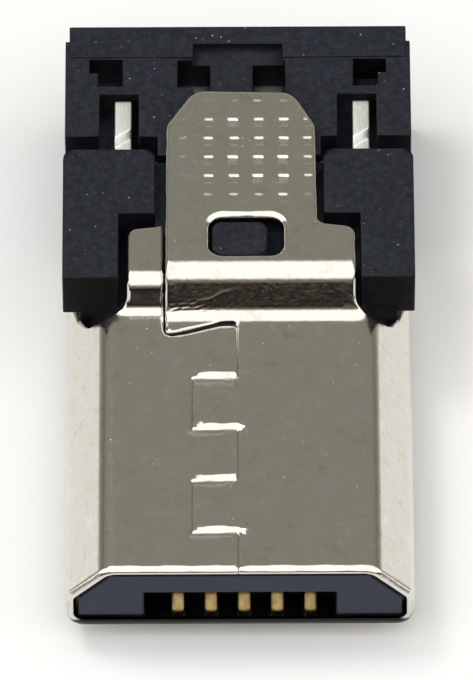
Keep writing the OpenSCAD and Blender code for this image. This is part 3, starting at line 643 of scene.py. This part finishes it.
def mesh_of(name, points, faces, normals=None):
    """Smooth mesh from points in millimetres and arrays of triangles or quads, with given normals."""
    sizes = np.concatenate([np.full(len(f), f.shape[1]) for f in faces])
    corners = np.concatenate([f.ravel() for f in faces])
    places = (points - [0, 0, SHELL_H / 2]) * MM
    mesh = bpy.data.meshes.new(name)
    mesh.vertices.add(len(points))
    mesh.vertices.foreach_set("co", places.astype(np.float32).ravel())
    mesh.loops.add(len(corners))
    mesh.loops.foreach_set("vertex_index", corners.astype(np.int32))
    mesh.polygons.add(len(sizes))
    mesh.polygons.foreach_set("loop_start", (np.cumsum(sizes) - sizes).astype(np.int32))
    mesh.polygons.foreach_set("use_smooth", np.ones(len(sizes), bool))
    mesh.update(calc_edges=True)
    if normals is not None:
        mesh.normals_split_custom_set_from_vertices(normals.tolist())
    return mesh


def piece(name, mesh, finish, body, slot, *nodes):
    """A finished piece of the plug that rides on a body and stands for nodes of the solid model."""
    obj = bpy.data.objects.new(name, mesh)
    bpy.context.scene.collection.objects.link(obj)
    mesh.materials.append(finish)
    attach(obj, body)
    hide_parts(*nodes)
    return obj


def fill(loop):
    """Triangles that fill a closed outline."""
    links = ring(0, len(loop))
    made = delaunay_2d_cdt(loop.tolist(), links.tolist(), [], 0, SAME_CAP_POINT)
    tris = np.array([origin[0] for origin in made[3]])[np.array(made[2])]
    return tris[inside(loop[tris].mean(1), np.hstack([loop, np.roll(loop, -1, 0)]))]


def grid_quads(rows, columns):
    """Quads of a grid of points whose columns close on themselves."""
    i, j = np.meshgrid(np.arange(rows - 1), np.arange(columns), indexing="ij")
    k = (j + 1) % columns
    low, high = i * columns, (i + 1) * columns
    return np.stack([low + j, low + k, high + k, high + j], -1).reshape(-1, 4)


def turned_out(points, quads, tris):
    """The faces, reversed if the volume they enclose comes out negative."""
    fans = np.concatenate([quads[:, [0, 1, 2]], quads[:, [0, 2, 3]], tris])
    a, b, c = points[fans].transpose(1, 0, 2)
    volume = (a * np.cross(b, c)).sum()
    return [quads, tris] if volume > 0 else [quads[:, ::-1], tris[:, ::-1]]


def latch(x):
    """A spring latch cut from strip: hook, arm, upright and kinked tail in side view.

    The side outline is carried across x and drawn in by a quarter round at both rims. At the kink the
    tail is skewed: a bell along y moves each point back in proportion to its x.
    """
    loop, _ = outline([(y, z, LATCH_R, BUTT) for y, z in LATCH_SIDE], LATCH_STEP)
    loop = loop if anticlockwise(loop) else loop[::-1]
    turn = np.linspace(0, np.pi / 2, LATCH_RIM_POINTS)
    inset = LATCH_RIM * (1 - np.sin(np.concatenate([turn, turn[::-1]])))
    edge = LATCH_RIM * (1 - np.cos(turn))
    across = np.concatenate([x - LATCH_T / 2 + edge, x + LATCH_T / 2 - edge[::-1]])
    side = loop + inset[:, None, None] * inward(loop)
    points = np.concatenate(
        [np.broadcast_to(across[:, None, None], side.shape[:2] + (1,)), side], -1
    ).reshape(-1, 3)
    cap = fill(side[0])
    tris = np.concatenate([cap[:, ::-1], cap + (len(across) - 1) * len(loop)])
    faces = turned_out(points, grid_quads(len(across), len(loop)), tris)
    kink = np.exp(-(((points[:, 1] - KINK_Y) / KINK_L) ** 2)) * (points[:, 2] > KINK_LOW)
    points[:, 1] += KINK_SKEW * (points[:, 0] - x) * kink
    return points, faces


def contact(x, tail):
    """A contact: a superellipse section carried along its side path, jogged over to its solder tail.

    The width grows from the blunt tip by a quarter ellipse, and along the jog to the tail's width.
    """
    way = CONTACT_FRONT + (SHORT_END if tail is None else TAIL_WAY)
    radii = [TIP_R, CREST_R] + [CONTACT_R] * (len(way) - len(CONTACT_FRONT))
    runs, total = runs_of(way, radii)
    ends = [run[0] for run in runs] + [total]
    counts = [ARC_POINTS if run[3] else RUN_POINTS for run in runs]
    spans = [np.linspace(*span) for span in zip(ends, ends[1:], counts)]
    spans.append(TIP_ROUND * np.linspace(0, 1, TIP_POINTS) ** 2)
    lead = np.interp(TAIL_JOG, TAIL_RUN, [ends[-2], total])
    at = np.unique(np.concatenate(spans if tail is None else spans + [lead]))
    point, heading = along(runs, at)
    jog = np.clip((at - lead[0]) / (lead[1] - lead[0]), 0, 1) * (tail is not None)
    middle = x + jog * ((tail or x) - x)
    blunt = np.sqrt(1 - (1 - np.clip(at / TIP_ROUND, 0, 1)) ** 2)
    half_w = CONTACT_HALF_W * (TIP_SHARE + (1 - TIP_SHARE) * blunt) + jog * TAIL_EXTRA
    turn = np.radians(360 / CONTACT_SIDES * (np.arange(CONTACT_SIDES) + 0.5))
    circle = np.stack([np.cos(turn), np.sin(turn)])
    around = np.abs(circle) ** CONTACT_SQUARE * np.sign(circle)
    px = middle[:, None] + half_w[:, None] * around[0]
    off = CONTACT_HALF_T * around[1]
    py = point[:, :1] - np.sin(heading)[:, None] * off
    pz = point[:, 1:] + np.cos(heading)[:, None] * off
    points = np.stack([px, py, pz], -1).reshape(-1, 3)
    n, m = CONTACT_SIDES, len(at)
    fan = np.stack([np.zeros(n - 2, int), np.arange(1, n - 1), np.arange(2, n)], -1)
    tris = np.concatenate([fan[:, ::-1], fan + (m - 1) * n])
    return points, turned_out(points, grid_quads(m, n), tris)


def moulded(node, width):
    """Merged copy of a node's mesh with its sharp outer edges rounded by that width in millimetres.

    The rounds take the second finish.
    """
    form = bmesh.new()
    form.from_mesh(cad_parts[node].data)
    bmesh.ops.scale(form, vec=(1 / MM,) * 3, verts=form.verts)
    bmesh.ops.remove_doubles(form, verts=form.verts, dist=1e-3)
    sharp = [
        edge for edge in form.edges
        if len(edge.link_faces) == 2
        and edge.calc_face_angle_signed(0) > ROUNDED_OVER
        and edge.calc_length() > 3 * width
    ]
    bmesh.ops.bevel(
        form, geom=sharp, offset=width, offset_type="OFFSET", segments=3, profile=0.5,
        affect="EDGES", clamp_overlap=False, miter_outer="ARC", material=1,
    )
    bmesh.ops.scale(form, vec=(MM,) * 3, verts=form.verts)
    mesh = bpy.data.meshes.new(node + "_moulded")
    form.to_mesh(mesh)
    form.free()
    mesh.polygons.foreach_set("use_smooth", np.ones(len(mesh.polygons), bool))
    mesh.set_sharp_from_angle(angle=MOULDED_SHARP)
    return mesh


def feed(tree, socket, value):
    """Link a socket from another one, or set its value."""
    if isinstance(value, bpy.types.NodeSocket):
        tree.links.new(value, socket)
    else:
        socket.default_value = value


def add_node(tree, kind, inputs=None, **settings):
    """New shader node with its settings and its inputs, which are values or sockets."""
    node = tree.nodes.new("ShaderNode" + kind)
    for key, value in settings.items():
        setattr(node, key, value)
    for key, value in (inputs or {}).items():
        feed(tree, node.inputs[key], value)
    return node


def set_stops(ramp, stops):
    """Places and colours of a colour ramp's stops; a plain number is a grey."""
    band = ramp.color_ramp.elements
    while len(band) < len(stops):
        band.new(0.5)
    for element, (place, colour) in zip(band, stops):
        element.position = place
        element.color = (*(colour if isinstance(colour, tuple) else (colour,) * 3), 1.0)


class Finish:
    """A node material: adds nodes with their settings and joins them to the surface."""

    def __init__(self, name):
        self.material = bpy.data.materials.new(name)
        self.material.use_nodes = True
        self.tree = self.material.node_tree
        self.surface = self.tree.nodes["Principled BSDF"]

    def add(self, kind, inputs=None, **settings):
        """Outputs of a new node."""
        return add_node(self.tree, kind, inputs, **settings).outputs

    def set(self, **sockets):
        """Values or links of the surface's sockets, with an underscore for each space."""
        for key, value in sockets.items():
            feed(self.tree, self.surface.inputs[key.replace("_", " ")], value)

    def place(self, scale=(1.0, 1.0, 1.0)):
        """Object coordinates in millimetres, stretched by scale."""
        where = self.add("TexCoord")["Object"]
        return self.add("Mapping", {"Vector": where, "Scale": [s / MM for s in scale]})["Vector"]

    def axes(self, vector):
        """The X, Y and Z of a vector."""
        return self.add("SeparateXYZ", {"Vector": vector})

    def facing(self):
        """The X, Y and Z of the surface's own normal."""
        return self.axes(self.add("NewGeometry")["Normal"])

    def noise(self, scale, detail=3.0, rough=0.5, stretch=(1.0, 1.0, 1.0)):
        """Noise with about that many grains a millimetre."""
        inputs = {"Vector": self.place(stretch), "Scale": scale, "Detail": detail, "Roughness": rough}
        return self.add("TexNoise", inputs)["Fac"]

    def cells(self, scale):
        """Scattered cells, about that many a millimetre: distance from the middle, and a colour."""
        return self.add("TexVoronoi", {"Vector": self.place(), "Scale": scale, "Randomness": 1.0})

    def span(self, value, start, end):
        """Share from 0 to 1 as the value goes from start to end."""
        return self.add("MapRange", {"Value": value, "From Min": start, "From Max": end})["Result"]

    def math(self, operation, a, b, **settings):
        """Two values joined by an operation."""
        return self.add("Math", {0: a, 1: b}, operation=operation, **settings)[0]

    def mix(self, share, first, second):
        """Colour that passes from the first to the second, sockets 6 and 7, as the share grows."""
        first, second = [(*c, 1.0) if isinstance(c, tuple) else c for c in (first, second)]
        inputs = {"Factor": share, 6: first, 7: second}
        return self.add("Mix", inputs, data_type="RGBA")[2]

    def ramp(self, value, *stops):
        """Colour or grey that runs through the stops (place, colour) as the value grows."""
        node = add_node(self.tree, "ValToRGB", {"Fac": value})
        set_stops(node, stops)
        return node.outputs["Color"]

    def bump(self, height, depth, under=None, share=1.0):
        """Relief of that depth in millimetres, over the relief under it."""
        inputs = {"Height": height, "Distance": depth * MM, "Strength": share}
        if under is not None:
            inputs["Normal"] = under
        return self.add("Bump", inputs)["Normal"]


def nickel():
    """Plated sheet: cloudy tone with faint tints, fine grain, shallow dents, scattered pinpricks.

    Painted shade darkens the cut faces that look forward in the last seam, and the lip of the lower
    rim.
    """
    f = Finish("nickel")
    tone = f.ramp(
        f.noise(2.6, 6.0, 0.66), (0.32, (0.66, 0.61, 0.54)), (0.42, (0.71, 0.69, 0.62)),
        (0.50, (0.73, 0.70, 0.65)), (0.58, (0.69, 0.70, 0.66)), (0.68, (0.80, 0.77, 0.70)),
    )
    dull = f.ramp(f.noise(9.0, 4.0, 0.6), (0.3, 0.10), (0.75, 0.19))
    dents = f.bump(f.noise(3.5, 3.0, 0.5), 0.0030)
    skin = f.bump(f.noise(9.0, 3.0, 0.5), 0.0013, dents)
    grit = f.bump(f.noise(14.0, 2.0, 0.5), 0.0010, skin)
    prick = f.ramp(f.cells(5.0)["Distance"], (0.0, 0.0), (0.09, 1.0))
    spread = f.ramp(f.noise(0.9, 2.0), (0.38, 0.0), (0.58, 1.0))
    pricked = f.bump(prick, 0.0035, grit, spread)
    place = f.axes(f.place())
    # Painted shade: low cut faces that look forward in the last seam, and the lower rim's lip, turn
    # near black.
    front = f.span(f.facing()["Y"], -0.45, -0.75)
    sunk, last = f.span(place["Z"], *SHADE_SEAM_Z), f.span(place["Y"], *SHADE_SEAM_Y)
    seam = f.math("MULTIPLY", f.math("MULTIPLY", sunk, last), front)
    under, mouth = f.span(place["Z"], *SHADE_LIP_Z), f.span(place["Y"], *SHADE_LIP_Y)
    painted_shade = f.math("MAXIMUM", seam, f.math("MULTIPLY", under, mouth))
    tone = f.mix(painted_shade, tone, (0.03, 0.028, 0.024))
    f.set(Metallic=1.0, Base_Color=tone, Roughness=dull, Normal=pricked)
    return f.material


def black_plastic(name, specks, face=None):
    """Moulded plastic: near black, with pale dust on what looks up. Faces that look up wear a lighter
    bluish mottle and the rest a darker one: partly the plastic's own mottle, partly painted light on
    the tops and painted shade on the sides.

    If a face colour is given, the mating face at the front wears it, as painted light for the light
    that face catches from the floor in front.
    """
    f = Finish(name)
    # Painted light and shade: faces that look up take the lighter bluish mottle, the rest the darker
    # one; the mottle itself is the plastic's own.
    up_dust_and_light = f.span(f.facing()["Z"], 0.55, 0.9)
    top_bloom_and_light = f.ramp(
        f.noise(7.0, 9.0, 0.80), (0.32, (0.0095, 0.0105, 0.0135)),
        (0.50, (0.0180, 0.0205, 0.0280)), (0.66, (0.031, 0.036, 0.049)),
    )
    dark = f.ramp(
        f.noise(4.0, 6.0, 0.7), (0.35, (0.0022, 0.0024, 0.0030)), (0.7, (0.0075, 0.0082, 0.0105))
    )
    base = f.mix(up_dust_and_light, dark, top_bloom_and_light)
    # Painted light: the mating face takes a lighter colour for the light it gets from the floor in
    # front.
    if face:
        base = f.mix(f.span(f.axes(f.place())["Y"], *MATING_Y), base, face)
    cell = f.cells(6.0)
    spot = f.ramp(cell["Distance"], (0.07, 1.0), (0.14, 0.0))
    chance = f.add("SeparateColor", {"Color": cell["Color"]})["Red"]
    some = f.ramp(chance, (0.70, 0.0), (0.95, specks))
    dust = f.math("MULTIPLY", f.math("MULTIPLY", spot, some), up_dust_and_light)
    dusty = f.mix(dust, base, (0.36, 0.40, 0.48))
    grain = f.bump(f.noise(12.0, 6.0, 0.7), 0.012)
    f.set(Base_Color=dusty, Roughness=0.55, Normal=grain, Specular_IOR_Level=0.10)
    return f.material


def worn_edge():
    """Rounded edges of the plastic, polished enough to catch the light from above."""
    f = Finish("black_plastic_edge")
    base = f.ramp(
        f.noise(5.0, 6.0, 0.7), (0.35, (0.0025, 0.0028, 0.0035)), (0.7, (0.012, 0.013, 0.017))
    )
    rub = f.bump(f.noise(9.0, 4.0, 0.6), 0.006)
    f.set(Base_Color=base, Roughness=0.5, Specular_IOR_Level=0.25, Normal=rub)
    return f.material


def gold():
    """Gold plating at the mating end, with painted shade darkening the tip, that gives way to tinned
    solder tails.
    """
    f = Finish("gold")
    plate = f.ramp(f.noise(6.0, 5.0, 0.6), (0.3, (0.36, 0.25, 0.10)), (0.7, (0.60, 0.45, 0.21)))
    tinned = f.span(f.axes(f.place())["Y"], *TINNED_Y)
    # Painted shade: the contacts' tips fade to near black along a slanting direction.
    tip_shade_reach = f.add("VectorMath", {0: f.place(), 1: TIP_SHADE_WAY}, operation="DOT_PRODUCT")["Value"]
    tone = f.mix(tinned, plate, (0.62, 0.62, 0.60))
    tone = f.mix(f.span(tip_shade_reach, *TIP_SHADE_REACH), tone, (0.016, 0.012, 0.007))
    grain = f.bump(f.noise(20.0), 0.0012)
    f.set(Metallic=1.0, Base_Color=tone, Roughness=0.48, Normal=grain)
    return f.material


def spring_steel():
    """Spring strip, brushed along its length."""
    f = Finish("spring_steel")
    lines = f.noise(5.0, 4.0, 0.6, (5.0, 1.0, 1.0))
    tone = f.ramp(lines, (0.3, (0.74, 0.74, 0.70)), (0.7, (0.92, 0.92, 0.88)))
    f.set(Metallic=1.0, Base_Color=tone, Roughness=0.46, Normal=f.bump(lines, 0.004))
    return f.material


# The last colour is the mating face's painted light.
INSULATOR = black_plastic("black_plastic", 0.7, (0.062, 0.068, 0.096))
NICKEL, SPACER, WORN_EDGE = nickel(), black_plastic("black_plastic_rear", 0.9), worn_edge()
GOLD, SPRING = gold(), spring_steel()

points, faces, normals = folded_shell()
sheet = mesh_of("shell_sheet", points, faces, normals)
piece("shell_sheet", sheet, NICKEL, "plug", "nickel", "shell")
for name, width, finish in (("insulator", 0.03, INSULATOR), ("rear_spacer", 0.025, SPACER)):
    made = piece(name + "_body", moulded(name, width), finish, "plug", "black_plastic", name)
    made.data.materials.append(WORN_EDGE)
    made.modifiers.new("even_shading", "WEIGHTED_NORMAL").keep_sharp = True
for name, x in zip(LATCH_NAMES, LATCH_X):
    spring = mesh_of(name, *latch(x))
    spring.set_sharp_from_angle(angle=CUT_SHARP)
    piece(name + "_spring", spring, SPRING, name + "_body", "spring_steel", name)
for k, tail in enumerate(CONTACT_TAILS):
    name = f"contact_{k + 1}"
    strip = mesh_of(name, *contact(CONTACT_MID + CONTACT_PITCH * (k - 2), tail))
    strip.set_sharp_from_angle(angle=CUT_SHARP)
    piece(name + "_strip", strip, GOLD, "plug", "gold", name)


def camera():
    """Long lens in front and above, level with the photograph's fitted view."""
    pitch, yaw, roll = np.radians(VIEW_TURN)
    ahead = np.array([np.sin(yaw) * np.cos(pitch), np.cos(yaw) * np.cos(pitch), -np.sin(pitch)])
    right = np.cross(ahead, [0, 0, 1.0])
    right /= np.linalg.norm(right)
    up = np.cross(right, ahead)
    x = right * np.cos(roll) + up * np.sin(roll)
    y = up * np.cos(roll) - right * np.sin(roll)
    data = bpy.data.cameras.new("camera")
    data.sensor_width, data.lens, data.shift_y = VIEW_SENSOR, VIEW_LENS, VIEW_SHIFT
    data.clip_start, data.clip_end = 0.01, 5.0
    obj = bpy.data.objects.new("camera", data)
    turn = Matrix(np.stack([x, y, -ahead], 1).tolist()).to_4x4()
    obj.matrix_world = Matrix.Translation(np.array(VIEW_PLACE) * MM) @ turn
    bpy.context.scene.collection.objects.link(obj)
    bpy.context.scene.camera = obj


def stage_sheet(name, points, finish):
    """A flat four-cornered sheet of the set, which isn't part of the plug."""
    mesh = bpy.data.meshes.new(name)
    mesh.from_pydata(points, [], [(0, 1, 2, 3)])
    mesh.materials.append(finish)
    obj = bpy.data.objects.new(name, mesh)
    bpy.context.scene.collection.objects.link(obj)
    return obj


def floor():
    """Pale floor under the hooks and rails; it throws less light on the plug than it shows."""
    f = Finish("floor")
    path = f.add("LightPath")
    seen = f.math("ADD", path["Is Camera Ray"], path["Is Glossy Ray"])
    seen = f.math("ADD", seen, path["Is Transmission Ray"], use_clamp=True)
    pale = f.mix(seen, (0.66, 0.66, 0.66), (0.90, 0.90, 0.90))
    f.set(Base_Color=pale, Roughness=0.8, Specular_IOR_Level=0.0)
    half, z = 0.35, FLOOR_Z * MM
    corners = [(-half, -half, z), (half, -half, z), (half, half, z), (-half, half, z)]
    stage_sheet("floor", corners, f.material)


def studio():
    """Soft light: a world bright overhead, grey behind, brown and dim low in front, and a key lamp.

    The world's colour runs through stops by the angle from overhead, which grows towards the front.
    """
    world = bpy.data.worlds.new("studio")
    bpy.context.scene.world = world
    world.use_nodes = True
    tree = world.node_tree
    where = add_node(tree, "TexCoord").outputs["Generated"]
    split = add_node(tree, "SeparateXYZ", {"Vector": where}).outputs
    front = add_node(tree, "Math", {0: split["Y"], 1: -1.0}, operation="MULTIPLY").outputs[0]
    angle = add_node(tree, "Math", {0: front, 1: split["Z"]}, operation="ARCTAN2").outputs[0]
    share = add_node(tree, "MapRange", {"Value": angle, "From Min": -np.pi, "From Max": np.pi})
    ramp = add_node(tree, "ValToRGB", {"Fac": share.outputs["Result"]})
    grey, bright, dim = (0.275, 0.270, 0.228), (1.45, 1.44, 1.42), (0.5, 0.49, 0.47)
    brown, umber = (0.42, 0.33, 0.26), (0.15, 0.115, 0.09)
    stops = [
        (-180, dim), (-100, dim), (-88, grey), (-28, grey), (-18, bright), (50, bright),
        (57, brown), (64, umber), (95, dim),
    ]
    set_stops(ramp, [((degrees + 180) / 360, colour) for degrees, colour in stops])
    sky = tree.nodes["Background"]
    feed(tree, sky.inputs["Color"], ramp.outputs["Color"])
    feed(tree, sky.inputs["Strength"], 1.0)
    lamp = bpy.data.lights.new("key", "AREA")
    lamp.shape, lamp.size, lamp.energy = "DISK", 0.12, 0.25
    obj = bpy.data.objects.new("key", lamp)
    place = Vector((-0.14, 0.10, 0.30))
    obj.location = place
    obj.rotation_euler = (-place).to_track_quat("-Z", "Y").to_euler()
    bpy.context.scene.collection.objects.link(obj)


def card(name, x, y, turn, wide, low, high, colour, foot):
    """An upright card between two heights over the floor; it shows only in reflections.

    A card with a foot colour fades to it over its lower half.
    """
    f = Finish(name)
    tone = (*colour, 1.0)
    if foot:
        height = f.axes(f.place())["Z"]
        tone = f.mix(f.span(height, FLOOR_Z, FLOOR_Z + high / 2), foot, colour)
    f.set(Base_Color=tone, Roughness=0.9, Specular_IOR_Level=0.0)
    turn = np.radians(turn)
    across = np.array([np.cos(turn), np.sin(turn), 0.0]) * wide / 2
    base = np.array([x, y, FLOOR_Z + low])
    up = np.array([0.0, 0.0, high - low])
    points = np.stack([base - across, base + across, base + across + up, base - across + up]) * MM
    stage_sheet(name, points.tolist(), f.material).visible_camera = False


camera()
floor()
studio()
for row in CARDS:
    card(*row)
bpy.context.scene.view_settings.view_transform = "Standard"
